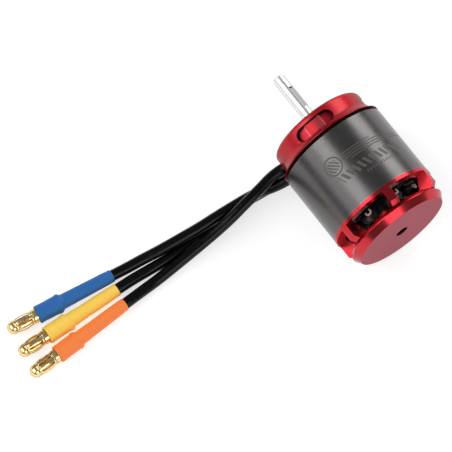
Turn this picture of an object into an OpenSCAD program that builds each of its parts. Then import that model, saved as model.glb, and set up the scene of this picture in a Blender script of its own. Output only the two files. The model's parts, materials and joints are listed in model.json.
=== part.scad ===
// Brushless outrunner motor, 28 mm can, with three leads and 3.5 mm bullet plugs.
// The motor lies on its side: the shaft points along +Y, up is +Z and the leads run
// towards -X. The origin is the centre of the front mounting face, on the shaft axis.
// Turned parts are drawn along +Z, with Z = 0 on the mounting face, and then laid down.

/* [Can] */
// Outside diameter of the can
can_d = 28; // [27.6:0.1:28.4]
// Length of the can
can_len = 18.95; // [18.5:0.05:20]
// Wall thickness of the can
can_wall = 1.2; // [1:0.1:1.3]
// Air gap between the front mount and the can
can_gap = 0.75; // [0.6:0.05:1]
// Number of magnets
magnet_count = 10; // [8:2:14]
// Thickness of the magnets
magnet_t = 1.5; // [1.3:0.1:1.5]
// Angle covered by one magnet
magnet_angle = 31; // [20:1:31]

/* [Front mount] */
// Length of the front mount
mount_len = 6.2; // [6.2:0.05:6.6]
// Diameter of the mount's drum
drum_d = 25.1; // [24.9:0.1:25.3]
// Thickness of the front plate
plate_t = 1.8; // [1.5:0.1:1.8]
// Rounding of the front edge
front_edge_r = 1; // [0.3:0.1:1]
// Axial length of the concave flare
flare_len = 2.4; // [2:0.1:2.6]
// Distance between the narrow pair of screw holes
screws_narrow = 16; // [15.8:0.1:16.2]
// Distance between the wide pair of screw holes
screws_wide = 19; // [18.8:0.1:19.2]
// Diameter of the tapped screw holes
screw_hole_d = 2.5; // [2.4:0.1:2.6]
// Width of the side pockets along the shaft
slot_w = 3.35; // [3:0.05:3.4]
// Length of the side pockets around the drum
slot_len = 10.3; // [9:0.1:10.5]

/* [Rear bell] */
// Number of spokes
spoke_count = 6; // [5:1:6]
// Width of a spoke
spoke_w = 2.2; // [1.8:0.1:2.4]
// Thickness of the bell's rim
rim_t = 0.9; // [0.8:0.05:1.2]
// Axial length of the windows between rim and disc
window_len = 4.4; // [4.2:0.1:4.6]
// Thickness of the rear disc
disc_t = 2.7; // [2.5:0.1:3]
// Largest diameter of the rear disc
disc_d = 26.6; // [26.4:0.1:27.2]
// Diameter of the disc's flat rear face
face_d = 24.4; // [23.6:0.1:25]
// Diameter of the hub inside the bell
hub_d = 8.8; // [8:0.1:9.4]

/* [Shaft] */
// Diameter of the shaft
shaft_d = 3.17; // [3.17:0.01:3.18]
// Length of shaft in front of the mounting face
shaft_out = 15.6; // [14:0.1:18]
// Chamfer at the shaft's tip
tip_chamfer = 0.5; // [0.3:0.1:0.6]
// Depth of the flat
flat_depth = 0.25; // [0.2:0.05:0.3]

/* [Stator] */
// Number of teeth
tooth_count = 12; // [12]
// Diameter of the lamination stack
stack_d = 22; // [21.8:0.1:22]
// Length of the lamination stack
stack_len = 13; // [12:0.5:13]
// Width of a tooth
tooth_w = 2; // [1.8:0.1:2]

/* [Bearings] */
// Outside diameter of a bearing
bearing_d = 9.525; // [9.5:0.005:9.55]
// Width of a bearing
bearing_w = 3.967; // [3.95:0.001:3.98]
// Number of balls in a bearing
ball_count = 7; // [6:1:7]

/* [Leads and plugs] */
// Diameter of a lead
lead_d = 2.8; // [2.5:0.1:2.8]
// Length of a heat-shrink sleeve
sleeve_len = 20.5; // [20:0.1:22]
// Diameter of the sleeve over the lead
sleeve_d = 3.5; // [3.3:0.1:3.5]
// Diameter of the sleeve over the plug
sleeve_wide_d = 4.7; // [4.6:0.1:4.8]
// Number of leaves in a plug's spring cage
leaf_count = 6; // [4:1:6]

/* [Hidden] */
$fn = 64;
eps = 0.01;

// Radii of the can, drum and shaft
can_r = can_d / 2;
can_ir = can_r - can_wall;
magnet_ir = can_ir - magnet_t;
glue_t = 0.03;
drum_r = drum_d / 2;
shaft_r = shaft_d / 2;

// Stations along the shaft, from the mounting face to the rear face
z_can_front = -(mount_len + can_gap);
z_can_rear = z_can_front - can_len;
z_rim = z_can_rear - rim_t;
z_disc = z_rim - window_len;
z_back = z_disc - disc_t;

// Front mount: wall, hub, flare, lip and the angles of its features (0 is +X, 90 is down)
mount_wall_ir = 11.1;
pocket_floor_r = 11.4;
pocket_step_w = 4.4;
pocket_step_r = 12;
mount_hub_r = 6.6;
lip_hole_r = 4.3;
lip_t = 1.3;
flare_lip = 0.15;
flare_rise = can_r - drum_r;
flare_r = (flare_rise * flare_rise + flare_len * flare_len) / (2 * flare_rise);
slot_angles = [-106, -1];
slot_z = -3.3;
narrow_angle = 128;
wide_angle = 38;
vents = [[83, 6.4], [186, 5]];
vent_at = 8.9;
vent_w = 2;
outlet_angle = 147;
outlet_w = 6.8;
outlet_from_r = 10.2;
outlet_front = 0.8;

// Rear bell: rim, spigot inside the can, spoke shape and grub screws
rim_r = can_r + 0.1;
spigot_len = 1.2;
spigot_ir = 11.6;
spoke_at = -90.8;
spoke_chamfer_len = 1.1;
spoke_chamfer = 1.14;
spoke_inner_r = 9.4;
disc_edge = 0.54;
disc_edge_len = 0.75;
disc_band = 0.15;
hub_len = 3;
bell_bore_r = 1.62;
shaft_recess = 2;
grub_angles = [-60, 60];
grub_r = 1.25;
grub_len = 2.4;
grub_hex_r = 0.75;

// Shaft flat, circlip groove and thrust parts
flat_from = 5.2;
flat_to = 11.5;
flat_angle = -46;
seam_angle = 21.5;
groove_z = -1.15;
groove_t = 0.6;
groove_r = 1.3;
circlip_r = 2.5;
circlip_angle = 290;
shim_r = 2.3;

// Bearings and their tube
z_front_bearing = -lip_t;
tube_r = 5.9;
tube_bore_r = 4.3;
z_tube_rear = -26.4;
z_rear_bearing = z_tube_rear + bearing_w;
pitch_r = 3.175;
ball_r = 0.794;
race_clear = 0.03;
inner_race_r = 2.45;
outer_race_r = 3.9;
shield_t = 0.18;
shield_inset = 0.12;
cage_w = 0.85;

// Stator: stack position, slots, insulators and coils
z_stack_mid = -17.4;
core_ring_r = 7.3;
tip_inner_r = 10.1;
slot_open = 1.6;
insulator_t = 0.5;
insulator_over = 0.1;
coil_from = 7.55;
coil_to = 9.85;
coil_w = 4.2;
coil_build = 2.6;
coil_corner = 1.1;
coil_half_angle = 14.3;
tie_count = 9;
tie_angle = -80.5;
tie_at = 9.2;
tie_loop_r = 0.62;
tie_cord_r = 0.22;

// Lead routes, from inside the mount to the solder cup of each plug
route_blue = [
    [-8.7, -6.1, -4.2], [-10, -5.7, -5.1], [-11.2, -5.3, -6], [-13.4, -4.6, -7.8],
    [-15.8, -3.7, -9.1], [-18.6, -2.8, -9.6], [-21.5, -2.3, -9.6], [-25, -2, -9.6],
    [-28, -1.8, -9.6], [-32, -1.6, -9.6], [-36, -1.4, -9.7], [-42, -0.8, -10],
    [-47, -0.1, -10.7], [-52, 0.8, -11.5], [-56, 1.3, -11.7], [-60, 1.8, -11.6],
    [-75.1, 3.7, -11.6]];
route_yellow = [
    [-7.2, -4.8, -6.6], [-8.4, -4.3, -7.4], [-9.6, -3.9, -8.3], [-12, -3.2, -10.1],
    [-14.6, -2.7, -11.7], [-17.6, -2.2, -12.5], [-21, -1.9, -12.5], [-25, -1.9, -12.5],
    [-28, -2, -12.5], [-32, -2.2, -12.5], [-36, -2.4, -12.5], [-42, -2.4, -12.5],
    [-47, -2.4, -12.5], [-52, -2.1, -12.3], [-56, -1.9, -11.9], [-61, -1.8, -11.6],
    [-76.2, -1.4, -11.6]];
route_orange = [
    [-8.7, -3.2, -4.1], [-10, -2.8, -4.8], [-11.4, -2.5, -5.4], [-13.4, -2.3, -5.9],
    [-15.8, -2.4, -6.3], [-18.6, -2.9, -6.6], [-21.5, -3.4, -6.8], [-25, -3.9, -7.3],
    [-28, -4.3, -8], [-32, -4.6, -9.1], [-37, -4.8, -10.3], [-42, -5, -11.1],
    [-47, -5.2, -11.8], [-52, -5.4, -12.3], [-56.5, -5.6, -12], [-61.8, -5.9, -11.6],
    [-77, -6.5, -11.6]];
lead_sides = 8;
splice_r = 1.3;
splice_len = 1.8;
splice_back = 0.55;

// Sleeve and plug, measured from the sleeve's mouth
lead_in = 15.25;
sleeve_bore_r = 1.42;
shoulder_from = 14.1;
shoulder_to = 15;
cup_r = 1.9;
cup_clear = 0.05;
collar_r = 1.7;
collar_len = 1.1;
neck_r = 1.1;
neck_len = 4.9;
nose_r = 1.45;
nose_len = 0.5;
leaf_t = 0.2;
leaf_bow = 0.42;
leaf_end_r = 1.45;
leaf_angle = 42;
spring_gap = 0.2;
spring_ring_len = 0.5;
spring_ring_ir = 1.15;

// ---- shared shapes ----

// Lays a part drawn along +Z on its side, with +Z turned to +Y
module lay() {
    rotate([-90, 0, 0]) children();
}

// A turned ring between two radii and two stations
module ring(outer, inner, z_low, z_high) {
    rotate_extrude() translate([inner, z_low]) square([outer - inner, z_high - z_low]);
}

// A rectangle with round corners
module rounded_rect(w, h, r) {
    square([w - 2 * r, h], center = true);
    square([w, h - 2 * r], center = true);
    for (x = [-1, 1], y = [-1, 1])
        translate([x * (w / 2 - r), y * (h / 2 - r)]) circle(r = r);
}

// A slot with round ends, along Y
module obround(len, w) {
    square([w, len - w], center = true);
    for (y = [-1, 1])
        translate([0, y * (len - w) / 2]) circle(d = w);
}

function unit(v) = v / norm(v);
function last(list) = list[len(list) - 1];

// Direction of a route at one of its points
function tangent(route, i) =
    unit(route[min(i + 1, len(route) - 1)] - route[max(i - 1, 0)]);

// The points of one ring of a lead
function lead_ring(route, i) =
    let (t = tangent(route, i), n = unit(cross(t, [0, 1, 0])), b = cross(t, n))
    [for (k = [0 : lead_sides - 1])
        route[i] + lead_d / 2 * (cos(360 * k / lead_sides) * n + sin(360 * k / lead_sides) * b)];

// A lead: rings along its route, joined and capped
module lead_tube(route) {
    count = len(route);
    points = [for (i = [0 : count - 1]) each lead_ring(route, i)];
    walls = [for (i = [0 : count - 2], k = [0 : lead_sides - 1])
        let (a = i * lead_sides + k, b = i * lead_sides + (k + 1) % lead_sides)
        [a, b, b + lead_sides, a + lead_sides]];
    first_cap = [for (k = [lead_sides - 1 : -1 : 0]) k];
    end_cap = [for (k = [0 : lead_sides - 1]) (count - 1) * lead_sides + k];
    polyhedron(points = points, faces = concat(walls, [first_cap, end_cap]));
}

// Puts a part drawn along +Z on the straight end of a lead, from the sleeve's mouth
module on_lead_end(route) {
    mouth = route[len(route) - 2];
    way = last(route) - mouth;
    translate(mouth) rotate([0, 0, atan2(way.y, way.x)]) rotate([0, 90, 0]) children();
}

// ---- front mount and bearing tube ----

module mount_outline() {
    difference() {
        union() {
            translate([0, -mount_len]) square([drum_r, mount_len - front_edge_r]);
            translate([0, -2 * front_edge_r]) square([drum_r - front_edge_r, 2 * front_edge_r]);
            translate([drum_r - front_edge_r, -front_edge_r]) circle(r = front_edge_r);
            translate([0, -mount_len]) square([can_r, flare_len + flare_lip]);
        }
        translate([drum_r + flare_r, -mount_len + flare_lip + flare_len]) circle(r = flare_r);
    }
}

module screw_holes() {
    for (turn = [0, 180]) {
        rotate([0, 0, narrow_angle + turn]) translate([screws_narrow / 2, 0, -plate_t - 1])
            cylinder(d = screw_hole_d, h = plate_t + 2);
        rotate([0, 0, wide_angle + turn]) translate([screws_wide / 2, 0, -plate_t - 1])
            cylinder(d = screw_hole_d, h = plate_t + 2);
    }
}

// Round-ended vents in the front plate, each with its angle and length
module plate_vents() {
    for (v = vents)
        rotate([0, 0, v[0]]) translate([vent_at, 0, -plate_t - 1])
            linear_extrude(height = plate_t + 2) obround(v[1], vent_w);
}

// Round-ended pockets in the side wall, each with a raised step across its middle
module side_pockets() {
    for (a = slot_angles)
        difference() {
            intersection() {
                rotate([0, 0, a]) translate([mount_wall_ir - 1, 0, slot_z]) rotate([90, 0, 90])
                    linear_extrude(height = 4) rotate([0, 0, 90]) obround(slot_len, slot_w);
                ring(can_r + 1, pocket_floor_r, -mount_len, 0);
            }
            rotate([0, 0, a]) translate([0, -pocket_step_w / 2, -mount_len])
                cube([pocket_step_r, pocket_step_w, mount_len]);
        }
}

module lead_outlet() {
    rotate([0, 0, outlet_angle]) translate([outlet_from_r, -outlet_w / 2, -mount_len - 1])
        cube([5, outlet_w, mount_len + 1 - outlet_front]);
}

module front_mount() {
    color("crimson") lay() difference() {
        rotate_extrude() mount_outline();
        ring(mount_wall_ir, mount_hub_r, -mount_len - 1, -plate_t);
        translate([0, 0, -mount_len - 1]) cylinder(r = tube_r, h = mount_len + 1 - lip_t);
        translate([0, 0, -mount_len]) cylinder(r = lip_hole_r, h = mount_len + 1);
        screw_holes();
        plate_vents();
        side_pockets();
        lead_outlet();
    }
}

module bearing_tube() {
    color("lightgrey") lay() difference() {
        ring(tube_r, tube_bore_r, z_tube_rear, -lip_t);
        translate([0, 0, z_front_bearing - bearing_w]) cylinder(d = bearing_d, h = bearing_w + 1);
        translate([0, 0, z_tube_rear - 1]) cylinder(d = bearing_d, h = bearing_w + 1);
    }
}

// ---- ball bearings, drawn with their front face at Z = 0 ----

module ball_groove() {
    translate([pitch_r, -bearing_w / 2]) circle(r = ball_r + race_clear);
}

module outer_race(z) {
    color("silver") lay() translate([0, 0, z]) rotate_extrude() difference() {
        translate([outer_race_r, -bearing_w]) square([bearing_d / 2 - outer_race_r, bearing_w]);
        ball_groove();
        for (y = [-shield_inset - shield_t, -bearing_w + shield_inset])
            translate([outer_race_r - 1, y]) square([1.25, shield_t]);
    }
}

module inner_race(z) {
    color("silver") lay() translate([0, 0, z]) rotate_extrude() difference() {
        translate([shaft_r, -bearing_w]) square([inner_race_r - shaft_r, bearing_w]);
        ball_groove();
    }
}

module shields(z) {
    color("gainsboro") lay() translate([0, 0, z])
        for (y = [-shield_inset - shield_t, -bearing_w + shield_inset])
            ring(outer_race_r + 0.25, inner_race_r + 0.2, y, y + shield_t);
}

module balls(z) {
    color("white") lay() translate([0, 0, z - bearing_w / 2])
        for (k = [0 : ball_count - 1])
            rotate([0, 0, 360 * k / ball_count]) translate([pitch_r, 0, 0]) sphere(r = ball_r);
}

module cage(z) {
    color("goldenrod") lay() translate([0, 0, z - bearing_w / 2]) difference() {
        ring(outer_race_r - 0.3, inner_race_r + 0.3, 0.15, 0.15 + cage_w);
        for (k = [0 : ball_count - 1])
            rotate([0, 0, 360 * k / ball_count]) translate([pitch_r, 0, 0])
                sphere(r = ball_r + race_clear);
    }
}

module front_bearing_outer() { outer_race(z_front_bearing); }
module front_bearing_inner() { inner_race(z_front_bearing); }
module front_bearing_shields() { shields(z_front_bearing); }
module front_balls() { balls(z_front_bearing); }
module front_cage() { cage(z_front_bearing); }
module rear_bearing_outer() { outer_race(z_rear_bearing); }
module rear_bearing_inner() { inner_race(z_rear_bearing); }
module rear_bearing_shields() { shields(z_rear_bearing); }
module rear_balls() { balls(z_rear_bearing); }
module rear_cage() { cage(z_rear_bearing); }

// ---- stator ----

module teeth(w, from_r, to_r) {
    for (k = [0 : tooth_count - 1])
        rotate(360 * k / tooth_count) translate([from_r, -w / 2]) square([to_r - from_r, w]);
}

module stator_core() {
    color("dimgrey") lay() translate([0, 0, z_stack_mid - stack_len / 2])
        linear_extrude(height = stack_len) difference() {
            circle(d = stack_d);
            circle(r = tube_r);
            difference() {
                circle(r = tip_inner_r);
                circle(r = core_ring_r);
                teeth(tooth_w, core_ring_r - 1, tip_inner_r + 1);
            }
            for (k = [0 : tooth_count - 1])
                rotate(360 * (k + 0.5) / tooth_count) translate([tip_inner_r - 0.5, -slot_open / 2])
                    square([3, slot_open]);
        }
}

module insulator(z) {
    color("darkgreen") lay() translate([0, 0, z]) linear_extrude(height = insulator_t)
        difference() {
            union() {
                circle(r = core_ring_r + insulator_over);
                teeth(tooth_w + 2 * insulator_over, core_ring_r - 1, tip_inner_r + 0.3);
            }
            circle(r = tube_r);
        }
}

module front_insulator() { insulator(z_stack_mid + stack_len / 2); }
module rear_insulator() { insulator(z_stack_mid - stack_len / 2 - insulator_t); }

// One coil around the tooth that points along +X
module coil() {
    inner_w = tooth_w + 2 * insulator_over;
    inner_h = stack_len + 2 * insulator_t;
    reach = 20;
    intersection() {
        translate([coil_from, 0, 0]) rotate([90, 0, 90]) linear_extrude(height = coil_to - coil_from)
            difference() {
                rounded_rect(coil_w, inner_h + 2 * coil_build, coil_corner);
                square([inner_w, inner_h], center = true);
            }
        linear_extrude(height = 2 * reach, center = true)
            polygon([[0, 0], [reach, -reach * tan(coil_half_angle)],
                [reach, reach * tan(coil_half_angle)]]);
    }
}

module phase(first) {
    color("saddlebrown") lay() translate([0, 0, z_stack_mid])
        for (k = [first, first + 1, first + 6, first + 7])
            rotate([0, 0, 360 * k / tooth_count]) coil();
}

module windings_a() { phase(0); }
module windings_b() { phase(2); }
module windings_c() { phase(4); }

// White lacing loops that stand on the rear end turns
module winding_ties() {
    z_end = z_stack_mid - stack_len / 2 - insulator_t - coil_build;
    color("white") lay() for (k = [0 : tie_count - 1])
        rotate([0, 0, tie_angle + 360 * k / tie_count]) translate([tie_at, 0, z_end - tie_cord_r])
            rotate([0, 90, 0]) rotate([0, 0, -90]) rotate_extrude(angle = 180)
                translate([tie_loop_r, 0]) circle(r = tie_cord_r);
}

// ---- leads, sleeves and plugs ----

module lead_splices() {
    color("black") for (route = [route_blue, route_yellow, route_orange])
        translate(route[0]) lay() rotate([0, 0, outlet_angle])
            translate([-splice_back, 0, 0]) rotate([0, -90, 0])
                cylinder(r = splice_r, h = splice_len);
}

module lead_blue() { color("black") lead_tube(route_blue); }
module lead_yellow() { color("black") lead_tube(route_yellow); }
module lead_orange() { color("black") lead_tube(route_orange); }

module sleeve(route) {
    bore_r = sleeve_bore_r;
    cup_bore_r = cup_r + cup_clear;
    on_lead_end(route) rotate_extrude()
        polygon([[bore_r, 0], [sleeve_d / 2, 0], [sleeve_d / 2, shoulder_from],
            [sleeve_wide_d / 2, shoulder_to], [sleeve_wide_d / 2, sleeve_len],
            [cup_bore_r, sleeve_len], [cup_bore_r, lead_in], [bore_r, lead_in]]);
}

module sleeve_blue() { color("royalblue") sleeve(route_blue); }
module sleeve_yellow() { color("gold") sleeve(route_yellow); }
module sleeve_orange() { color("darkorange") sleeve(route_orange); }

// Solder cup, collar, neck and round nose of a plug
module plug(route) {
    collar_to = sleeve_len + collar_len;
    neck_to = collar_to + neck_len;
    color("gold") on_lead_end(route) {
        rotate_extrude()
            polygon([[0, lead_in], [cup_r, lead_in], [cup_r, sleeve_len - 0.3],
                [collar_r, sleeve_len], [collar_r, collar_to - 0.2], [collar_r - 0.2, collar_to],
                [neck_r, collar_to], [neck_r, neck_to], [nose_r, neck_to],
                [nose_r, neck_to + nose_len], [0, neck_to + nose_len]]);
        intersection() {
            translate([0, 0, neck_to + nose_len]) sphere(r = nose_r);
            translate([0, 0, neck_to + nose_len]) cylinder(r = nose_r + 1, h = nose_r + 1);
        }
    }
}

module plug_blue() { plug(route_blue); }
module plug_yellow() { plug(route_yellow); }
module plug_orange() { plug(route_orange); }

// Bowed leaves between two end rings, around the plug's neck
module spring(route) {
    from = sleeve_len + collar_len + spring_gap;
    to = sleeve_len + collar_len + neck_len - spring_gap;
    half = (to - from) / 2;
    bow_r = (half * half + leaf_bow * leaf_bow) / (2 * leaf_bow);
    top_r = leaf_end_r + leaf_bow;
    color("gold") on_lead_end(route) {
        ring(leaf_end_r - 0.05, spring_ring_ir, from, from + spring_ring_len);
        ring(leaf_end_r - 0.05, spring_ring_ir, to - spring_ring_len, to);
        for (k = [0 : leaf_count - 1])
            rotate([0, 0, 360 * k / leaf_count]) rotate_extrude(angle = leaf_angle)
                intersection() {
                    difference() {
                        translate([top_r - bow_r, from + half]) circle(r = bow_r, $fn = 128);
                        translate([top_r - bow_r, from + half]) circle(r = bow_r - leaf_t, $fn = 128);
                    }
                    translate([spring_ring_ir, from]) square([2, to - from]);
                }
    }
}

module spring_blue() { spring(route_blue); }
module spring_yellow() { spring(route_yellow); }
module spring_orange() { spring(route_orange); }

// ---- rotor ----

module flux_ring() {
    edge = 0.15;
    color("slategrey") lay() rotate_extrude()
        polygon([[can_ir, z_can_rear], [can_r, z_can_rear], [can_r, z_can_front - edge],
            [can_r - edge, z_can_front], [can_ir + edge, z_can_front],
            [can_ir, z_can_front - edge]]);
}

module magnets() {
    z_low = z_can_rear + spigot_len + 0.1;
    z_high = z_can_front - 1.3;
    color("grey") lay() for (k = [0 : magnet_count - 1])
        rotate([0, 0, 360 * k / magnet_count]) rotate_extrude(angle = magnet_angle)
            translate([magnet_ir, z_low]) square([magnet_t - glue_t, z_high - z_low]);
}

// Outline of a spoke: flush with the rim, chamfered towards the disc
module spoke_outline() {
    polygon([[spigot_ir, z_rim + eps], [rim_r, z_rim + eps],
        [rim_r, z_disc + spoke_chamfer_len], [rim_r - spoke_chamfer, z_disc],
        [rim_r - spoke_chamfer, z_disc - eps], [spoke_inner_r, z_disc - eps]]);
}

module disc_outline() {
    disc_r = disc_d / 2;
    band_z = z_disc - disc_edge_len;
    polygon([[0, z_back], [face_d / 2, z_back], [disc_r, band_z - disc_band], [disc_r, band_z],
        [disc_r - disc_edge, z_disc], [0, z_disc]]);
}

module grub_holes(r, from_r, len) {
    for (a = grub_angles)
        rotate([0, 0, a]) translate([from_r, 0, z_disc + hub_len / 2]) rotate([0, 90, 0])
            cylinder(r = r, h = len);
}

module rear_bell() {
    color("crimson") lay() difference() {
        union() {
            ring(rim_r, spigot_ir, z_rim, z_can_rear);
            ring(can_ir, spigot_ir, z_can_rear - eps, z_can_rear + spigot_len);
            rotate_extrude() disc_outline();
            cylinder_from(hub_d / 2, z_disc - eps, z_disc + hub_len);
            intersection() {
                rotate_extrude() spoke_outline();
                for (k = [0 : spoke_count - 1])
                    rotate([0, 0, spoke_at + 360 * k / spoke_count])
                        translate([0, -spoke_w / 2, z_disc - 1])
                            cube([rim_r + 1, spoke_w, window_len + 2]);
            }
        }
        cylinder_from(shaft_r, z_back + shaft_recess, z_disc + hub_len + 1);
        cylinder_from(bell_bore_r, z_back - 1, z_back + shaft_recess);
        grub_holes(grub_r, 0, hub_d);
    }
}

// A cylinder between two stations
module cylinder_from(r, z_low, z_high) {
    translate([0, 0, z_low]) cylinder(r = r, h = z_high - z_low);
}

module shaft() {
    color("whitesmoke") lay() difference() {
        rotate([0, 0, seam_angle]) rotate_extrude()
            polygon([[0, z_back + shaft_recess], [shaft_r, z_back + shaft_recess],
                [shaft_r, groove_z], [groove_r, groove_z], [groove_r, groove_z + groove_t],
                [shaft_r, groove_z + groove_t], [shaft_r, shaft_out - tip_chamfer],
                [shaft_r - tip_chamfer, shaft_out], [0, shaft_out]]);
        rotate([0, 0, flat_angle]) translate([shaft_r - flat_depth, -shaft_r, flat_from])
            cube([1, 2 * shaft_r, flat_to - flat_from]);
    }
}

module grub_screws() {
    color("dimgrey") lay() difference() {
        grub_holes(grub_r, shaft_r + 0.03, grub_len);
        for (a = grub_angles)
            rotate([0, 0, a]) translate([shaft_r + grub_len - 1, 0, z_disc + hub_len / 2])
                rotate([0, 90, 0]) cylinder(r = grub_hex_r, h = 3, $fn = 6);
    }
}

module circlip() {
    color("dimgrey") lay() rotate_extrude(angle = circlip_angle)
        translate([groove_r, groove_z + 0.02]) square([circlip_r - groove_r, groove_t - 0.04]);
}

module front_shim() {
    color("goldenrod") lay() ring(shim_r, shaft_r, z_front_bearing, groove_z);
}

module rear_spacer() {
    color("goldenrod") lay() ring(shim_r, shaft_r, z_disc + hub_len, z_tube_rear);
}

front_mount();
bearing_tube();
front_bearing_outer();
front_bearing_inner();
front_bearing_shields();
front_balls();
front_cage();
rear_bearing_outer();
rear_bearing_inner();
rear_bearing_shields();
rear_balls();
rear_cage();
stator_core();
front_insulator();
rear_insulator();
windings_a();
windings_b();
windings_c();
winding_ties();
lead_splices();
lead_blue();
lead_yellow();
lead_orange();
sleeve_blue();
sleeve_yellow();
sleeve_orange();
plug_blue();
plug_yellow();
plug_orange();
spring_blue();
spring_yellow();
spring_orange();
flux_ring();
magnets();
rear_bell();
shaft();
grub_screws();
circlip();
front_shim();
rear_spacer();
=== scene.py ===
import json
import math

import bpy
import bmesh
from mathutils import Matrix, Vector


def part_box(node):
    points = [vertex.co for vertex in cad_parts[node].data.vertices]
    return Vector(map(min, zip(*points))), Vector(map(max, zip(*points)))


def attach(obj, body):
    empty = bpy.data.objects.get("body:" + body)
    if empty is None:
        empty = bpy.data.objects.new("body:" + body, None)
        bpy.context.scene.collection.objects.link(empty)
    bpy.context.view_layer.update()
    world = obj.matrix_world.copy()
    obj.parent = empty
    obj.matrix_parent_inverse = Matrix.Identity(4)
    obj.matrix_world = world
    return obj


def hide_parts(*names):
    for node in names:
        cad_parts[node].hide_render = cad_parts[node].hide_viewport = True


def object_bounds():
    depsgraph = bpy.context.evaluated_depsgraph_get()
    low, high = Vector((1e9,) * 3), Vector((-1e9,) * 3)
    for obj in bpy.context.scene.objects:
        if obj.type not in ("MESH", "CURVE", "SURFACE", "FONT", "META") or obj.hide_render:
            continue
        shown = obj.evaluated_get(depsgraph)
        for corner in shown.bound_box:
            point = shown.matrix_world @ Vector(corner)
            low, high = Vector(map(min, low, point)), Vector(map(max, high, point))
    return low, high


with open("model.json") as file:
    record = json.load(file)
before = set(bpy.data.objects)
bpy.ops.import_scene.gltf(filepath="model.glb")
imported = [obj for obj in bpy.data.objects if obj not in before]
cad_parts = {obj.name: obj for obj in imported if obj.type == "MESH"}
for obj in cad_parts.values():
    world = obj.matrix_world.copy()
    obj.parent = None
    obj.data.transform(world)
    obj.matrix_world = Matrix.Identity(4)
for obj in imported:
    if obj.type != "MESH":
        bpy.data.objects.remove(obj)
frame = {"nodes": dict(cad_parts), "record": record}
cad_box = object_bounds()
NODES = frame["nodes"]
MM = 0.001

# ---------------------------------------------------------------- camera

# The direction in which the photograph looks at the motor
AZIMUTH, ELEVATION = math.radians(-36.56), math.radians(69.52)
CAMERA_AT = (-0.2204, -0.2606, 0.8428)
FOCAL_LENGTH, SENSOR_WIDTH = 300, 36


def make_camera():
    data = bpy.data.cameras.new("camera")
    data.lens = FOCAL_LENGTH
    data.sensor_width = SENSOR_WIDTH
    data.clip_start, data.clip_end = 0.05, 50
    camera = bpy.data.objects.new("camera", data)
    bpy.context.scene.collection.objects.link(camera)
    back = Vector((math.sin(AZIMUTH) * math.cos(ELEVATION),
                   -math.cos(AZIMUTH) * math.cos(ELEVATION), math.sin(ELEVATION)))
    right = Vector((math.cos(AZIMUTH), math.sin(AZIMUTH), 0))
    turn = Matrix((right, back.cross(right), back)).transposed().to_4x4()
    camera.matrix_world = Matrix.Translation(CAMERA_AT) @ turn
    bpy.context.scene.camera = camera


make_camera()

# ---------------------------------------------------------------- shared helpers

# Edges between faces that meet at more than these angles stay sharp, in degrees
CAD_CREASE, LOFT_CREASE = 32, 40


def add_object(name, data, body, material):
    """A new piece in the frame's own coordinates, riding on a body."""
    piece = bpy.data.objects.new(name, data)
    bpy.context.scene.collection.objects.link(piece)
    data.materials.append(material)
    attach(piece, body)
    return piece


def mesh_from(name, points, faces):
    """A flat-shaded mesh from points in metres."""
    data = bpy.data.meshes.new(name)
    data.from_pydata([tuple(p) for p in points], [], faces)
    data.update()
    return data


def mark_creases(data, degrees):
    """Smooth shading, with sharp edges where two faces meet at a steeper angle."""
    data.polygons.foreach_set("use_smooth", [True] * len(data.polygons))
    bm = bmesh.new()
    bm.from_mesh(data)
    limit = math.radians(degrees)
    for edge in bm.edges:
        edge.smooth = len(edge.link_faces) != 2 or edge.calc_face_angle(0) < limit
    bm.to_mesh(data)
    bm.free()


def loft(name, loops, closed=False):
    """A skin over loops of points in mm.

    Closed, the last loop meets the first. Otherwise both ends are capped.
    """
    count, around = len(loops), len(loops[0])
    points = [p * MM for loop in loops for p in loop]
    faces = []
    for i in range(count if closed else count - 1):
        low, high = i * around, (i + 1) % count * around
        for k in range(around):
            n = (k + 1) % around
            faces.append((low + k, low + n, high + n, high + k))
    if not closed:
        faces.append(tuple(reversed(range(around))))
        faces.append(tuple(range((count - 1) * around, count * around)))
    data = mesh_from(name, points, faces)
    bm = bmesh.new()
    bm.from_mesh(data)
    bmesh.ops.recalc_face_normals(bm, faces=bm.faces)
    bm.to_mesh(data)
    bm.free()
    mark_creases(data, LOFT_CREASE)
    return data


def joined(name, meshes):
    """Several meshes as one."""
    bm = bmesh.new()
    for data in meshes:
        bm.from_mesh(data)
        bpy.data.meshes.remove(data)
    data = bpy.data.meshes.new(name)
    bm.to_mesh(data)
    bm.free()
    return data


def wire_curve(name, lines, radius, roundness):
    """Round wires of a radius in mm along several lines of points."""
    data = bpy.data.curves.new(name, "CURVE")
    data.dimensions = "3D"
    data.bevel_depth = radius * MM
    data.bevel_resolution = roundness
    data.use_fill_caps = True
    for line in lines:
        spline = data.splines.new("POLY")
        spline.points.add(len(line) - 1)
        for point, place in zip(spline.points, line):
            point.co = (*(place * MM), 1)
        spline.use_smooth = True
    return data


def around_shaft(angle, radius, y):
    """A point at an angle from +X towards -Z, as part.scad counts its angles."""
    return Vector((radius * math.cos(angle), y, -radius * math.sin(angle)))


# ---------------------------------------------------------------- materials


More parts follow.
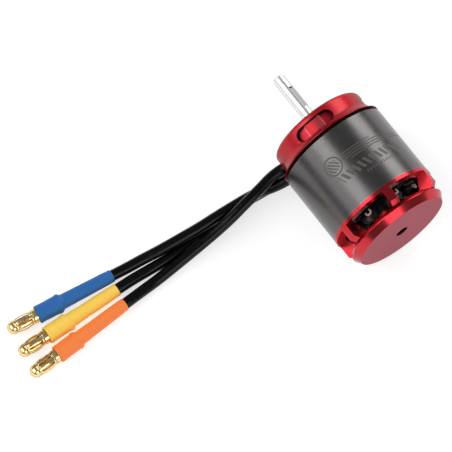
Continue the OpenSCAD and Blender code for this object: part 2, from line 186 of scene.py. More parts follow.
class Shader:
    """A principled material and short ways to add its procedural nodes, in mm."""

    def __init__(self, name, base, metallic, roughness, **sockets):
        self.material = bpy.data.materials.new(name)
        self.material.use_nodes = True
        self.nodes = self.material.node_tree.nodes
        self.links = self.material.node_tree.links
        self.bsdf = self.nodes["Principled BSDF"]
        self.bsdf.inputs["Base Color"].default_value = (*base, 1)
        self.bsdf.inputs["Metallic"].default_value = metallic
        self.bsdf.inputs["Roughness"].default_value = roughness
        for key, value in sockets.items():
            self.bsdf.inputs[key.replace("_", " ")].default_value = value
        self.normal = None
        coords = self.nodes.new("ShaderNodeTexCoord")
        scale = self.nodes.new("ShaderNodeVectorMath")
        scale.operation = "SCALE"
        scale.inputs["Scale"].default_value = 1 / MM
        self.links.new(coords.outputs["Object"], scale.inputs[0])
        self.mm = scale.outputs[0]
        split = self.nodes.new("ShaderNodeSeparateXYZ")
        self.links.new(self.mm, split.inputs[0])
        self.x, self.y, self.z = split.outputs
        self.r = self.distance(self.x, self.z)

    def put(self, source, socket):
        """Sets a socket to a number or colour, or links a node's output to it."""
        if isinstance(source, (int, float, tuple)):
            socket.default_value = source
        else:
            self.links.new(source, socket)

    def math(self, operation, a, b=0.0, c=0.0):
        node = self.nodes.new("ShaderNodeMath")
        node.operation = operation
        for source, socket in zip((a, b, c), node.inputs):
            self.put(source, socket)
        return node.outputs[0]

    def distance(self, a, b):
        """How far a point lies from where two of its measures are zero."""
        return self.math("SQRT", self.math("ADD", self.math("MULTIPLY", a, a),
                                           self.math("MULTIPLY", b, b)))

    def within(self, value, low, high):
        """1 where a value lies between two bounds, else 0."""
        return self.math("COMPARE", value, (low + high) / 2, (high - low) / 2)

    def stripes(self, value, pitch, low, high):
        """Stripes at a pitch in mm, each from one share of the pitch to another."""
        return self.within(self.math("FRACT", self.math("DIVIDE", value, pitch)), low, high)

    def both(self, *masks):
        result = masks[0]
        for mask in masks[1:]:
            result = self.math("MULTIPLY", result, mask)
        return result

    def either(self, *masks):
        result = masks[0]
        for mask in masks[1:]:
            result = self.math("MAXIMUM", result, mask)
        return result

    def noise(self, scale, detail, rough=0.5, stretch=None):
        """Cloudy noise; a stretch greater than 1 along an axis packs it closer there."""
        node = self.nodes.new("ShaderNodeTexNoise")
        node.inputs["Scale"].default_value = scale
        node.inputs["Detail"].default_value = detail
        node.inputs["Roughness"].default_value = rough
        vector = self.mm
        if stretch:
            way = self.nodes.new("ShaderNodeVectorMath")
            way.operation = "MULTIPLY"
            way.inputs[1].default_value = stretch
            self.links.new(vector, way.inputs[0])
            vector = way.outputs[0]
        self.links.new(vector, node.inputs["Vector"])
        return node.outputs["Fac"]

    def line_noise(self, value, scale, detail):
        """Noise that changes along one value only, such as turning marks."""
        node = self.nodes.new("ShaderNodeTexNoise")
        node.noise_dimensions = "1D"
        node.inputs["Scale"].default_value = scale
        node.inputs["Detail"].default_value = detail
        self.links.new(value, node.inputs["W"])
        return node.outputs["Fac"]

    def spread(self, value, low, high, from_low=0.3, from_high=0.7):
        """A value's usual range, which for a noise is 0.3 to 0.7, spread over a new range."""
        node = self.nodes.new("ShaderNodeMapRange")
        for name, number in (("From Min", from_low), ("From Max", from_high),
                             ("To Min", low), ("To Max", high)):
            node.inputs[name].default_value = number
        self.links.new(value, node.inputs["Value"])
        return node.outputs[0]

    def mix(self, factor, first, second):
        node = self.nodes.new("ShaderNodeMix")
        node.data_type = "RGBA"
        self.put(factor, node.inputs["Factor"])
        self.put((*first, 1) if isinstance(first, tuple) else first, node.inputs["A"])
        self.put((*second, 1) if isinstance(second, tuple) else second, node.inputs["B"])
        return node.outputs["Result"]

    def mix_value(self, factor, first, second):
        node = self.nodes.new("ShaderNodeMix")
        self.put(factor, node.inputs["Factor"])
        self.put(first, node.inputs["A"])
        self.put(second, node.inputs["B"])
        return node.outputs["Result"]

    def openness(self, reach):
        """Near 0 deep in a hollow and 1 in the open, judged over a reach in mm."""
        node = self.nodes.new("ShaderNodeAmbientOcclusion")
        node.samples = 8
        node.inputs["Distance"].default_value = reach * MM
        return node.outputs["AO"]

    def colour(self, source):
        self.links.new(source, self.bsdf.inputs["Base Color"])

    def rough(self, source):
        self.links.new(source, self.bsdf.inputs["Roughness"])

    def ease_edges(self, radius):
        """Rounds the shading of sharp edges, as deburring does."""
        node = self.nodes.new("ShaderNodeBevel")
        node.samples = 6
        node.inputs["Radius"].default_value = radius * MM
        self.normal = node.outputs[0]
        self.links.new(self.normal, self.bsdf.inputs["Normal"])

    def bump(self, value, depth):
        """Adds a height in mm on top of the ones before it."""
        node = self.nodes.new("ShaderNodeBump")
        node.inputs["Distance"].default_value = depth * MM
        self.links.new(value, node.inputs["Height"])
        if self.normal:
            self.links.new(self.normal, node.inputs["Normal"])
        self.normal = node.outputs[0]
        self.links.new(self.normal, self.bsdf.inputs["Normal"])


# Ends of CAD solids that the masks below follow, in mm
REAR_FACE_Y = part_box("rear_bell")[0].y / MM
CAN_REAR_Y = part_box("flux_ring")[0].y / MM

# Sizes from part.scad, in mm, and angles in degrees: the mount's side pockets with a step across
# their middle, the bell's rear face and bore, the can, and the shaft's flat
SLOT_ANGLES = (-106, -1)
SLOT_Y = -3.3
SLOT_HALF_WIDTH, SLOT_HALF_STRAIGHT = 1.675, 3.475
POCKET_STEP_HALF = 2.2
REAR_FACE_R, BELL_BORE_R = 12.2, 1.62
CAN_R = 14.0
FLAT_ANGLE, FLAT_OUT = -46, 1.335
FLAT_FROM, FLAT_TO = 5.2, 11.5


def red_anodised(name, rough_low, rough_high, tint, gain):
    """Dyed aluminium with fine turning marks and a thin clear oxide; gain scales the red."""
    s = Shader(name, (0.6, 0.012, 0.025), 1.0, 0.3, Coat_Weight=0.6, Coat_Roughness=0.25,
               Coat_IOR=1.5, Specular_Tint=(*tint, 1))
    s.ease_edges(0.1)
    rings = s.math("ADD", s.line_noise(s.r, 9, 3), s.line_noise(s.y, 9, 3))
    s.bump(rings, 0.003)
    cloud = s.noise(0.35, 3)
    s.rough(s.spread(s.math("ADD", s.math("MULTIPLY", rings, 0.4), cloud),
                     rough_low, rough_high, 0.6, 1.2))
    red_colour = s.mix(s.spread(cloud, 0, 1), (0.55 * gain, 0.007, 0.017), (0.62 * gain, 0.01, 0.022))
    return s, red_colour


def pocket_masks(s, degrees):
    """Masks on one side pocket: its edge band for the painted shadow line, boss (as a height),
    ridges for the painted highlight, and ends.
    """
    cos, sin = math.cos(math.radians(degrees)), math.sin(math.radians(degrees))
    out = s.math("SUBTRACT", s.math("MULTIPLY", s.x, cos), s.math("MULTIPLY", s.z, sin))
    across = s.math("SUBTRACT", s.math("MULTIPLY", s.x, -sin), s.math("MULTIPLY", s.z, cos))
    away = s.math("ABSOLUTE", across)
    past_straight = s.math("MAXIMUM", s.math("SUBTRACT", away, SLOT_HALF_STRAIGHT), 0.0)
    to_middle = s.distance(past_straight, s.math("SUBTRACT", s.y, SLOT_Y))
    edge = s.math("SUBTRACT", to_middle, SLOT_HALF_WIDTH)
    on_this_side = s.math("GREATER_THAN", out, 4.0)
    inside = s.both(on_this_side, s.math("LESS_THAN", edge, -0.2))
    fall = s.math("DIVIDE", s.math("MULTIPLY", away, away), POCKET_STEP_HALF ** 2)
    # A band along the pocket's edge, painted near-black below as the pocket's shadow line.
    painted_shadow_line = s.both(on_this_side, s.within(edge, -0.24, 0.13))
    boss = s.both(inside, s.math("SUBTRACT", 1.0, fall),
                  s.math("LESS_THAN", away, POCKET_STEP_HALF))
    # Lines across the pocket, painted lighter below as highlight on the ridges.
    painted_highlight_ridges = s.both(inside, s.within(away, POCKET_STEP_HALF - 0.1, POCKET_STEP_HALF + 0.25))
    ends = s.both(inside, s.math("GREATER_THAN", away, POCKET_STEP_HALF + 0.25))
    return painted_shadow_line, boss, painted_highlight_ridges, ends


def red_mount():
    """The mount is satin. Its side pockets have a rounded boss, a painted shadow line along their
    edge and painted highlight on their ridges.

    The ends of the second pocket are painted dark as shade.
    """
    s, red_colour = red_anodised("red_anodised_mount", 0.43, 0.5, (0.05, 0.05, 0.05), 0.88)
    first, second = (pocket_masks(s, degrees) for degrees in SLOT_ANGLES)
    painted_shadow_line, boss, painted_highlight_ridges = (s.either(*pair) for pair in zip(first[:3], second[:3]))
    # The second pocket's ends are painted near-black as shade.
    painted_shade_second_ends = s.math("MULTIPLY", second[3], 0.95)
    red_colour = s.mix(painted_shade_second_ends, red_colour, (0.02, 0.001, 0.001))
    s.bump(boss, 0.45)
    # Painted shadow line along the pockets' edges, and painted highlight on their ridges.
    s.colour(s.mix(painted_shadow_line, s.mix(painted_highlight_ridges, red_colour, (0.75, 0.08, 0.11)), (0.03, 0.001, 0.002)))
    return s.material


def red_bell():
    """The bell is brighter turned. Its rear face is duller, with visible rings and a darker base
    painted as shade for the shaded floor it mirrors. Its hollows and bore are painted dark as
    shade.
    """
    s, red_colour = red_anodised("red_anodised_bell", 0.15, 0.22, (0.6, 0.5, 0.55), 0.9)
    face = s.both(s.within(s.y, REAR_FACE_Y - 1, REAR_FACE_Y + 0.02),
                  s.within(s.r, BELL_BORE_R - 0.12, REAR_FACE_R + 0.4))
    marks = s.line_noise(s.r, 5, 4)
    s.bump(s.both(face, marks), 0.004)
    # The rear face's darker base is painted shade for the shaded floor it mirrors, varied by its
    # turning marks.
    face_marks_and_painted_shade = s.mix(s.spread(marks, 0, 1), (0.33, 0.012, 0.018), (0.39, 0.017, 0.024))
    s.links.new(s.mix_value(face, 0.6, 0.22), s.bsdf.inputs["Coat Weight"])
    # Hollows are painted near-black as shade, from ambient occlusion over 5 mm.
    red_colour = s.mix(s.spread(s.openness(5), 0, 1, 0.2, 0.6), (0.02, 0.0005, 0.001), red_colour)
    # The bore is painted near-black as shade.
    bore = s.both(s.within(s.y, REAR_FACE_Y + 0.1, REAR_FACE_Y + 3),
                  s.math("LESS_THAN", s.r, BELL_BORE_R + 0.08))
    s.colour(s.mix(bore, s.mix(face, red_colour, face_marks_and_painted_shade), (0.03, 0.002, 0.003)))
    return s.material


def etching(s):
    """A generic laser-etched motif on the can: a slatted ring, streaks, bars and ticks."""
    along = s.math("MULTIPLY", s.math("ARCTAN2", s.x, s.z), CAN_R)

    ring_along, ring_y = -6.6, -14.6
    ring_dx = s.math("SUBTRACT", along, ring_along)
    ring_dy = s.math("SUBTRACT", s.y, ring_y)
    reach = s.distance(ring_dx, ring_dy)
    slats = s.both(s.stripes(s.math("ADD", ring_dx, ring_dy), 1.05, 0, 0.5),
                   s.math("LESS_THAN", reach, 1.6))
    ring = s.either(s.within(reach, 2.05, 2.4), slats)

    half_width = 0.13
    streaks = [s.both(s.within(s.y, y - half_width, y + half_width), s.within(along, start, end))
               for y, start, end in ((-13.6, -3.6, 5), (-14.3, -3.4, 9.5),
                                     (-15, -3.5, 14), (-15.7, -2, 15.5))]

    lean = s.math("ADD", along, s.math("MULTIPLY", s.y, 0.45))
    bars = s.both(s.stripes(lean, 1.6, 0, 0.52), s.within(s.y, -19.6, -17.4),
                  s.within(lean, -15.4, 2.4))
    ticks = s.both(s.stripes(along, 0.8, 0, 0.45), s.within(s.y, -21, -20.4),
                   s.within(along, -0.8, 7.2))
    return s.either(ring, *streaks, bars, ticks)


def gunmetal():
    """Dark plated steel with fine grain around the can, the etched motif and a rim painted
    brighter as a highlight.
    """
    s = Shader("gunmetal", (0.12, 0.12, 0.125), 1.0, 0.28)
    s.ease_edges(0.12)
    grain = s.line_noise(s.y, 11, 4)
    s.bump(grain, 0.0025)
    cloud = s.noise(0.25, 3)
    fine = s.noise(3.5, 3, 0.6, (1, 4, 1))
    etched = etching(s)
    s.bump(etched, 0.03)
    plain_rough = s.spread(s.math("ADD", s.math("ADD", grain, cloud), fine), 0.24, 0.32, 1.2, 1.8)
    s.rough(s.mix_value(etched, plain_rough, 0.62))
    steel = s.mix(s.spread(fine, 0, 1), (0.116, 0.112, 0.112), (0.13, 0.125, 0.124))
    # The rear rim is painted brighter as a highlight line.
    painted_highlight_rim = s.within(s.y, CAN_REAR_Y - 1, CAN_REAR_Y + 0.14)
    s.colour(s.mix(painted_highlight_rim, s.mix(etched, steel, (0.145, 0.128, 0.118)), (0.2, 0.19, 0.19)))
    return s.material


def bearing_steel():
    """Dark steel with fine marks around the shaft's axis."""
    base, rough = (0.035, 0.035, 0.035), 0.4
    s = Shader("bearing_steel", base, 1.0, rough)
    s.ease_edges(0.06)
    lines = s.math("ADD", s.line_noise(s.y, 12, 3), s.line_noise(s.r, 12, 3))
    s.bump(lines, 0.002)
    s.rough(s.spread(lines, rough * 0.8, rough * 1.25, 0.7, 1.3))
    s.colour(s.mix(s.spread(s.noise(0.8, 3), 0, 1), tuple(c * 0.94 for c in base), base))
    return s.material


def gold():
    """Polished gold plate, painted dark in its hollows as shade."""
    s = Shader("gold_plated", (1.0, 0.76, 0.36), 1.0, 0.16, Specular_Tint=(0.3, 0.2, 0.1, 1))
    s.ease_edges(0.05)
    haze = s.noise(2.2, 4)
    s.rough(s.spread(haze, 0.1, 0.24))
    s.bump(s.noise(9, 3), 0.002)
    plate = s.mix(s.spread(haze, 0, 1), (0.92, 0.64, 0.26), (1.0, 0.8, 0.44))
    # Hollows are painted dark brown as shade, from ambient occlusion over 0.6 mm.
    s.colour(s.mix(s.spread(s.openness(0.6), 0, 1, 0.35, 0.75), (0.07, 0.03, 0.01), plate))
    return s.material


def silicone():
    """Glossy black wire insulation with a little dust."""
    s = Shader("lead_black", (0.004, 0.004, 0.004), 0.0, 0.2, Specular_IOR_Level=0.18)
    dust = s.noise(1.1, 5, 0.6)
    s.rough(s.spread(dust, 0.13, 0.24))
    s.bump(s.noise(3, 3), 0.006)
    s.colour(s.mix(s.spread(dust, 0, 1, 0.4, 0.8), (0.0015, 0.0015, 0.002),
                   (0.004, 0.004, 0.0045)))
    return s.material


def shrink(name, base):
    """Matte heat-shrink with a soft grain and faint scuffs."""
    s = Shader(name, base, 0.0, 0.55, Specular_IOR_Level=0.35)
    skin = s.noise(3.2, 5, 0.6)
    s.bump(skin, 0.012)
    scuffs = s.noise(0.9, 4, 0.65, (1, 5, 5))
    s.rough(s.spread(skin, 0.46, 0.62))
    dark = tuple(c * 0.9 for c in base)
    light = tuple(min(1.0, c * 1.06 + 0.003) for c in base)
    s.colour(s.mix(s.spread(s.math("ADD", skin, scuffs), 0, 1, 0.7, 1.3), dark, light))
    return s.material


def grained(name, base, metallic, rough, grain=4.0, depth=0.006, **sockets):
    """A fine-grained surface for the small inner pieces."""
    s = Shader(name, base, metallic, rough, **sockets)
    cloud = s.noise(grain, 4)
    s.bump(cloud, depth)
    s.rough(s.spread(cloud, rough * 0.8, min(1.0, rough * 1.25)))
    s.colour(s.mix(s.spread(cloud, 0, 1), tuple(c * 0.8 for c in base),
                   tuple(min(1.0, c * 1.2) for c in base)))
    return s.material


def laminated():
    """Stacked sheets, coated black, with the sheet edges showing."""
    s = Shader("laminations", (0.03, 0.03, 0.032), 0.6, 0.5)
    pitch = 0.35
    s.bump(s.math("FRACT", s.math("DIVIDE", s.y, pitch)), 0.03)
    s.rough(s.spread(s.noise(3, 4), 0.42, 0.6))
    s.colour(s.mix(s.stripes(s.y, pitch, 0, 0.2), (0.035, 0.035, 0.037), (0.015, 0.015, 0.016)))
    return s.material


def shaft_steel():
    """Ground steel with cross marks on the flat, whose colour is also darker as painted shade, and
    a spot at the flat's outer end painted dark as shade.
    """
    s = Shader("shaft_steel", (0.93, 0.93, 0.92), 1.0, 0.34, Specular_Tint=(0.2, 0.2, 0.2, 1))
    s.ease_edges(0.05)
    lines = s.line_noise(s.y, 12, 3)
    s.bump(lines, 0.0015)
    s.rough(s.spread(lines, 0.3, 0.4))
    facing = around_shaft(math.radians(FLAT_ANGLE), 1, 0)
    out = s.math("ADD", s.math("MULTIPLY", s.x, facing.x), s.math("MULTIPLY", s.z, facing.z))
    flat = s.both(s.within(out, FLAT_OUT - 0.025, FLAT_OUT + 0.015),
                  s.within(s.y, FLAT_FROM, FLAT_TO))
    # A spot at the flat's outer end, painted near-black below as shade.
    painted_shade_spot = s.both(s.within(out, FLAT_OUT - 0.005, FLAT_OUT + 0.165),
                  s.within(s.y, FLAT_TO - 0.4, FLAT_TO + 0.1), s.math("GREATER_THAN", s.z, 0.9))
    steel = s.mix(s.spread(lines, 0, 1), (0.86, 0.855, 0.85), (0.95, 0.945, 0.94))
    # The flat's cross marks, on a colour painted darker as shade.
    hatched_flat_with_painted_shade = s.mix(s.stripes(s.y, 0.34, 0.5, 1), (0.62, 0.6, 0.6), (0.48, 0.47, 0.47))
    s.colour(s.mix(painted_shade_spot, s.mix(flat, steel, hatched_flat_with_painted_shade), (0.05, 0.045, 0.045)))
    return s.material


MATERIALS = {
    "red_anodised": red_mount(),
    "gunmetal": gunmetal(),
    "shaft_steel": shaft_steel(),
    # The aluminium tube is painted near-black as shade inside the motor.
    "tube_aluminium": grained("tube_painted_shade", (0.008, 0.008, 0.008), 0.0, 0.6,
                              Specular_IOR_Level=0.1),
    "bearing_steel": bearing_steel(),
    "brass_parts": grained("brass_parts", (0.5, 0.34, 0.13), 1.0, 0.3),
    # The magnets' nickel is painted dark as shade inside the can.
    "magnet_nickel": grained("magnet_nickel", (0.08, 0.08, 0.08), 1.0, 0.4),
    "laminations": laminated(),
    "insulator_black": grained("insulator_black", (0.006, 0.006, 0.006), 0.0, 0.6,
                               Specular_IOR_Level=0.15),
    "enamelled_copper": grained("enamelled_copper", (0.012, 0.005, 0.003), 0.0, 0.35, 6, 0.004,
                                Specular_IOR_Level=0.25),
    "lacing_white": grained("lacing_white", (0.75, 0.73, 0.69), 0.0, 0.8, 9, 0.02),
    "lead_black": silicone(),
    "shrink_black": shrink("shrink_black", (0.01, 0.01, 0.011)),
    "shrink_blue": shrink("shrink_blue", (0.014, 0.125, 0.4)),
    "shrink_yellow": shrink("shrink_yellow", (1.0, 0.625, 0.09)),
    "shrink_orange": shrink("shrink_orange", (0.95, 0.225, 0.045)),
    "gold_plated": gold(),
    "black_steel": grained("black_steel", (0.02, 0.02, 0.022), 0.8, 0.4),
}
# The bell is turned more finely than the mount, though both are in the red slot
OWN_MATERIALS = {"rear_bell": red_bell()}

SLOT_OF = {part["node"]: part["material_slot"] for part in frame["record"]["subparts"]}


def finish_cad_nodes():
    for name, node in NODES.items():
        node.data.materials.clear()
        node.data.materials.append(OWN_MATERIALS.get(name, MATERIALS[SLOT_OF[name]]))
        mark_creases(node.data, CAD_CREASE)


finish_cad_nodes()

# ---------------------------------------------------------------- cords and their sleeves

# Each lead's route in mm, as in part.scad, from inside the mount. The last stretch is straight
# and runs from the sleeve's mouth to the lead's end in the solder cup.
ROUTES = {
    "blue": [
        (-8.7, -6.1, -4.2), (-10, -5.7, -5.1), (-11.2, -5.3, -6), (-13.4, -4.6, -7.8),
        (-15.8, -3.7, -9.1), (-18.6, -2.8, -9.6), (-21.5, -2.3, -9.6), (-25, -2, -9.6),
        (-28, -1.8, -9.6), (-32, -1.6, -9.6), (-36, -1.4, -9.7), (-42, -0.8, -10),
        (-47, -0.1, -10.7), (-52, 0.8, -11.5), (-56, 1.3, -11.7), (-60, 1.8, -11.6),
        (-75.1, 3.7, -11.6)],
    "yellow": [
        (-7.2, -4.8, -6.6), (-8.4, -4.3, -7.4), (-9.6, -3.9, -8.3), (-12, -3.2, -10.1),
        (-14.6, -2.7, -11.7), (-17.6, -2.2, -12.5), (-21, -1.9, -12.5), (-25, -1.9, -12.5),
        (-28, -2, -12.5), (-32, -2.2, -12.5), (-36, -2.4, -12.5), (-42, -2.4, -12.5),
        (-47, -2.4, -12.5), (-52, -2.1, -12.3), (-56, -1.9, -11.9), (-61, -1.8, -11.6),
        (-76.2, -1.4, -11.6)],
    "orange": [
        (-8.7, -3.2, -4.1), (-10, -2.8, -4.8), (-11.4, -2.5, -5.4), (-13.4, -2.3, -5.9),
        (-15.8, -2.4, -6.3), (-18.6, -2.9, -6.6), (-21.5, -3.4, -6.8), (-25, -3.9, -7.3),
        (-28, -4.3, -8), (-32, -4.6, -9.1), (-37, -4.8, -10.3), (-42, -5, -11.1),
        (-47, -5.2, -11.8), (-52, -5.4, -12.3), (-56.5, -5.6, -12), (-61.8, -5.9, -11.6),
        (-77, -6.5, -11.6)],
}
LEAD_R = 1.4
# Longest step between two points of a lead's curve
LEAD_STEP = 0.6

# Lengths in mm along a plug from the sleeve's mouth, and radii, within the solids of part.scad
LEAD_IN = 15.25
SLEEVE_LEN = 20.5
SLEEVE_R, SLEEVE_WIDE_R = 1.75, 2.33
SLEEVE_BORE_R, CUP_BORE_R = 1.42, 1.96
SLEEVE_OUTSIDE = ((0, SLEEVE_R - 0.17), (3, SLEEVE_R - 0.08), (9, SLEEVE_R),
                  (13.5, SLEEVE_R + 0.08), (14.6, SLEEVE_WIDE_R + 0.08),
                  (15.5, SLEEVE_WIDE_R - 0.08), (18.8, SLEEVE_WIDE_R - 0.12),
                  (SLEEVE_LEN, SLEEVE_WIDE_R - 0.06))
SLEEVE_BORE = ((0, SLEEVE_BORE_R), (14.3, SLEEVE_BORE_R), (15.2, CUP_BORE_R),
               (SLEEVE_LEN, CUP_BORE_R))
CUP_R, COLLAR_R, NECK_R, NOSE_R = 1.9, 1.7, 1.1, 1.58
COLLAR_TO = SLEEVE_LEN + 1.1
NECK_TO = COLLAR_TO + 4.9
NOSE_TO = NECK_TO + 0.5
NOSE_CAP = 1.45


def smooth_line(route):
    """The route as one smooth curve, with its last stretch straight."""
    points = [Vector(p) for p in route]
    count = len(points)
    ways = []
    for i in range(count):
        if i == 0:
            ways.append((points[1] - points[0]).normalized())
        elif i >= count - 2:
            ways.append((points[-1] - points[-2]).normalized())
        else:
            before, after = points[i] - points[i - 1], points[i + 1] - points[i]
            mixed = before.normalized() * after.length + after.normalized() * before.length
            ways.append(mixed / (before.length + after.length))
    line = []
    for i in range(count - 1):
        span = (points[i + 1] - points[i]).length
        steps = max(2, math.ceil(span / LEAD_STEP))
        for k in range(steps):
            t = k / steps
            line.append((2 * t**3 - 3 * t**2 + 1) * points[i]
                        + (t**3 - 2 * t**2 + t) * span * ways[i]
                        + (3 * t**2 - 2 * t**3) * points[i + 1]
                        + (t**3 - t**2) * span * ways[i + 1])
    return line + [points[-1]]


def make_lead(colour):
    """One lead as a smooth cord, and its length in mm."""
    line = smooth_line(ROUTES[colour])
    data = wire_curve("lead_line_" + colour, [line], LEAD_R, 7)
    piece = add_object("cord_" + colour, data, "stator", MATERIALS["lead_black"])
    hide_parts("lead_" + colour)
    return piece, sum((b - a).length for a, b in zip(line, line[1:]))


class PlugAxis:
    """Places points by length from a sleeve's mouth, radius and angle around the lead's end."""

    def __init__(self, colour):
        self.mouth, end = Vector(ROUTES[colour][-2]), Vector(ROUTES[colour][-1])
        self.way = (end - self.mouth).normalized()
        self.side = self.way.cross(Vector((0, 0, 1))).normalized()
        self.up = self.side.cross(self.way)

    def point(self, length, radius, angle):
        return (self.mouth + self.way * length
                + radius * (math.cos(angle) * self.side + math.sin(angle) * self.up))

    def circle(self, length, radius, count=40):
        return [self.point(length, radius, math.tau * k / count) for k in range(count)]


def eased(value, stops):
    """A value that eases from stop to stop; each stop is (place, amount)."""
    for (low, start), (high, end) in zip(stops, stops[1:]):
        if value <= high:
            t = max(0.0, (value - low) / (high - low))
            return start + (end - start) * (3 - 2 * t) * t * t
    return stops[-1][1]


def make_sleeve(colour, seed):
    """Heat-shrink: snug on the lead, swelling over the solder cup, with soft cut ends."""
    axis = PlugAxis(colour)
    angles = [math.tau * k / 48 for k in range(48)]

    def outer(length, angle):
        skew = 0.35 * math.cos(angle - seed)
        waves = math.sin(0.9 * length + 2 * seed) * math.cos(2 * angle + seed)
        painted_highlight_ridges = math.sin(2.3 * length + seed) * math.cos(3 * angle - 0.4 * length)
        return eased(length + skew, SLEEVE_OUTSIDE) + 0.022 * waves + 0.012 * painted_highlight_ridges

    def loop(length, share):
        """A loop at a share of the wall's thickness, on ends cut a little out of square."""
        bore = eased(length, SLEEVE_BORE)
        points = []
        for angle in angles:
            slope = 0.09 * math.sin(angle + 2 * seed)
            cut = length + slope * (1 - 2 * length / SLEEVE_LEN)
            points.append(axis.point(cut, bore + (outer(length, angle) - bore) * share, angle))
        return points

    lip = [(0.0, 0.35), (0.03, 0.75), (0.12, 0.95)]
    margin, count = 0.22, 67
    span = SLEEVE_LEN - 2 * margin
    outside = lip + [(margin + span * i / (count - 1), 1) for i in range(count)]
    outside += [(SLEEVE_LEN - length, share) for length, share in reversed(lip)]
    inside = [(length, 0) for length in (SLEEVE_LEN - 0.02, 17.8, 15.2, 14.3, 8, 2, 0.02)]
    data = loft("sleeve_mesh_" + colour, [loop(*place) for place in outside + inside], closed=True)
    slot = "shrink_" + colour
    piece = add_object("heatshrink_" + colour, data, "stator", MATERIALS[slot])
    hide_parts("sleeve_" + colour)
    return piece


def make_bullet(colour):
    """Solder cup, collar, neck and round nose, with eased corners."""
    axis = PlugAxis(colour)
    ease, tip_r = 0.09, 0.02
    outline = [(LEAD_IN, tip_r), (LEAD_IN, CUP_R - ease), (LEAD_IN + ease, CUP_R),
               (SLEEVE_LEN - 0.5, CUP_R), (SLEEVE_LEN - 0.35, CUP_R - 0.08),
               (SLEEVE_LEN - 0.3, COLLAR_R),
               (COLLAR_TO - ease, COLLAR_R), (COLLAR_TO, COLLAR_R - ease),
               (COLLAR_TO + 0.02, NECK_R + 0.06), (COLLAR_TO + 0.1, NECK_R),
               (NECK_TO - 0.1, NECK_R), (NECK_TO - 0.02, NECK_R + 0.06),
               (NECK_TO, NOSE_R - 0.2), (NECK_TO + 0.06, NOSE_R - 0.06), (NECK_TO + 0.18, NOSE_R),
               (NOSE_TO - 0.1, NOSE_R)]
    bends = 12
    for i in range(bends + 1):
        turn = math.pi / 2 * i / bends
        outline.append((NOSE_TO + NOSE_CAP * math.sin(turn), max(tip_r, NOSE_R * math.cos(turn))))
    data = loft("bullet_mesh_" + colour, [axis.circle(length, r) for length, r in outline])
    piece = add_object("bullet_" + colour, data, "stator", MATERIALS["gold_plated"])
    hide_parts("plug_" + colour)
    return piece


def make_cage(colour, start_angle):
    """The spring cage: bowed leaves, each narrower in its middle, between two end rings."""
    axis = PlugAxis(colour)
    low, high = COLLAR_TO + 0.08, NECK_TO - 0.05
    ring_width, ring_r, bore_r, ease = 0.5, 1.56, 1.14, 0.06
    leaf_count, bow, thick, crown = 6, 0.3, 0.17, 0.05
    stations, columns = 20, [j / 3 - 1 for j in range(7)]

    ring = [(0, bore_r + 0.03), (ease, bore_r), (ring_width - ease, bore_r),
            (ring_width, bore_r + 0.03), (ring_width, ring_r - 0.05), (ring_width - ease, ring_r),
            (ease, ring_r), (0, ring_r - 0.05)]
    parts = [loft("ring", [axis.circle(start + d, r, 48) for d, r in ring], closed=True)
             for start in (low, high - ring_width)]
    for k in range(leaf_count):
        middle = start_angle + math.tau * k / leaf_count
        loops = []
        for i in range(stations + 1):
            t = i / stations
            swell = math.sin(math.pi * t)
            length = low + ring_width / 2 + (high - low - ring_width) * t
            radius = ring_r - 0.02 + bow * swell ** 0.85
            half = math.radians(27 - 9.5 * swell ** 0.6)
            top = [axis.point(length, radius - crown * c ** 4, middle + half * c)
                   for c in columns]
            under = [axis.point(length, radius - thick + 0.02 * c ** 4, middle + (half - 0.02) * c)
                     for c in reversed(columns)]
            loops.append(top + under)
        parts.append(loft("leaf", loops))
    data = joined("cage_mesh_" + colour, parts)
    piece = add_object("cage_" + colour, data, "stator", MATERIALS["gold_plated"])
    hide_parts("spring_" + colour)
    return piece


def make_cords():
    for number, colour in enumerate(ROUTES):
        lead, length = make_lead(colour)
        on_lead = [make_sleeve(colour, 1.3 + 1.7 * number), make_bullet(colour),
                   make_cage(colour, 0.35 + 0.3 * number)]


make_cords()

# ---------------------------------------------------------------- windings and lacing

# In mm: the middle of the stack, half the straight length of a coil, the wire's radius, and the
# radii of the lacing's ring around the shaft and of its cord
STACK_MID_Y = (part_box("stator_core")[0].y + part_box("stator_core")[1].y) / 2 / MM
COIL_HALF_LEN = 6.8
TOOTH_COUNT = 12
WIRE_R = 0.23
LACING_RING_R, LACING_R = 9.2, 0.22


def tooth_axes(angle):
    """Unit ways outwards and across at an angle around the shaft."""
    return around_shaft(angle, 1, 0), Vector((-math.sin(angle), 0, -math.cos(angle)))


def coil_line(tooth):
    """One coil as a single wire: two layers of five turns, fanned out at the end turns."""
    out, across = tooth_axes(math.tau * tooth / TOOTH_COUNT)
    turns_per_layer, arc_steps, outermost = 5, 8, 9.62
    line = []
    for turn in range(2 * turns_per_layer):
        layer, column = divmod(turn, turns_per_layer)
        if layer == 0:
            radius = outermost - 0.46 * column
            half_width = 1.34
        else:
            radius = 7.82 + 0.45 * column
            half_width = 1.78 - 0.05 * (outermost - radius)
        rise = 0.9 + 0.155 * turn
        for sign in (1, -1):
            for step in range(arc_steps + 1):
                t = math.pi * step / arc_steps
                aside = sign * half_width * math.cos(t)
                along = sign * (COIL_HALF_LEN + rise * math.sin(t) ** 0.8)
                line.append(out * radius + across * aside + Vector((0, STACK_MID_Y + along, 0)))
    return line


def make_windings():
    """Three phases of four coils, each phase on two pairs of teeth."""
    copper = MATERIALS["enamelled_copper"]
    for number, name in enumerate(("windings_a", "windings_b", "windings_c")):
        first = 2 * number
        lines = [coil_line(tooth) for tooth in (first, first + 1, first + 6, first + 7)]
        data = wire_curve("wire_" + name, lines, WIRE_R, 2)
        piece = add_object("wire_" + name, data, "stator", copper)
        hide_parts(name)


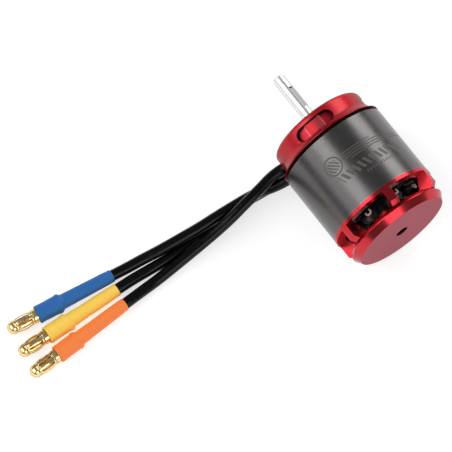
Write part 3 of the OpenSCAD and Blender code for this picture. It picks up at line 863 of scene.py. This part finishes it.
def make_lacing():
    """Short loops of white cord standing on the rear end turns."""
    count, first = 7, math.radians(-74.6)
    arc_from, arc, steps = -35, 235, 18
    foot_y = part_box("windings_a")[0].y / MM - 0.25
    lines = []
    for k in range(count):
        out, across = tooth_axes(first + math.tau * k / count)
        loop = []
        for step in range(steps + 1):
            t = math.radians(arc_from + arc * step / steps)
            reach = 0.68 + 0.05 * math.sin(3 * t + k)
            ring_r = LACING_RING_R + 0.16 * math.sin(t + k)
            loop.append(out * ring_r + across * reach * math.cos(t)
                        + Vector((0, foot_y - reach * math.sin(t), 0)))
        lines.append(loop)
    data = wire_curve("lacing_line", lines, LACING_R, 3)
    piece = add_object("lacing", data, "stator", MATERIALS["lacing_white"])
    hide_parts("winding_ties")


make_windings()
make_lacing()

# ---------------------------------------------------------------- floor and lights

# In metres: half the floor's width, how far each softbox stands, and the point it is aimed at
FLOOR_HALF = 6.0
LIGHT_DISTANCE = 2.2
MOTOR_MIDDLE = (0, -0.016, 0)


def make_floor():
    """A plain pale floor that glows a little, so that it stays even and nearly white."""
    corners = [(x * FLOOR_HALF, y * FLOOR_HALF, cad_box[0].z)
               for x, y in ((-1, -1), (1, -1), (1, 1), (-1, 1))]
    floor = bpy.data.objects.new("floor", mesh_from("floor", corners, [(0, 1, 2, 3)]))
    bpy.context.scene.collection.objects.link(floor)
    material = bpy.data.materials.new("pale_floor")
    material.use_nodes = True
    bsdf = material.node_tree.nodes["Principled BSDF"]
    bsdf.inputs["Base Color"].default_value = (0.52, 0.515, 0.515, 1)
    bsdf.inputs["Roughness"].default_value = 0.9
    bsdf.inputs["Specular IOR Level"].default_value = 0.0
    bsdf.inputs["Emission Color"].default_value = (1, 1, 1, 1)
    bsdf.inputs["Emission Strength"].default_value = 0.64
    floor.data.materials.append(material)


def make_light(name, lean_x, lean_y, width, length, radiance):
    """A softbox aimed at the motor, leaning from straight up towards +X and +Y in degrees.

    Its power follows from its size in metres and its radiance.
    """
    data = bpy.data.lights.new(name, "AREA")
    data.shape = "RECTANGLE"
    data.size, data.size_y = width, length
    data.energy = radiance * math.pi * width * length
    light = bpy.data.objects.new(name, data)
    bpy.context.scene.collection.objects.link(light)
    a, b = math.radians(lean_x), math.radians(lean_y)
    way = Vector((math.sin(a) * math.cos(b), math.sin(b), math.cos(a) * math.cos(b)))
    target = Vector(MOTOR_MIDDLE)
    side = Vector((0, 1, 0)).cross(way).normalized()
    turn = Matrix((side, way.cross(side), way)).transposed().to_4x4()
    light.matrix_world = Matrix.Translation(target + way * LIGHT_DISTANCE) @ turn
    light.visible_camera = False


def make_studio():
    scene = bpy.context.scene
    world = bpy.data.worlds.new("studio")
    scene.world = world
    world.use_nodes = True
    background = world.node_tree.nodes["Background"]
    background.inputs["Color"].default_value = (1, 1, 1, 1)
    background.inputs["Strength"].default_value = 0.22
    make_light("softbox_left", -33, 12, 1.1, 2.8, 2.6)
    make_light("fill_left", -62, 12, 0.8, 2.8, 1.2)
    make_light("softbox_right", 57, 12, 1.1, 2.8, 2.9)
    make_light("softbox_rear", -4, -58, 1.35, 1.55, 2.3)
    scene.view_settings.view_transform = "Standard"


make_floor()
make_studio()
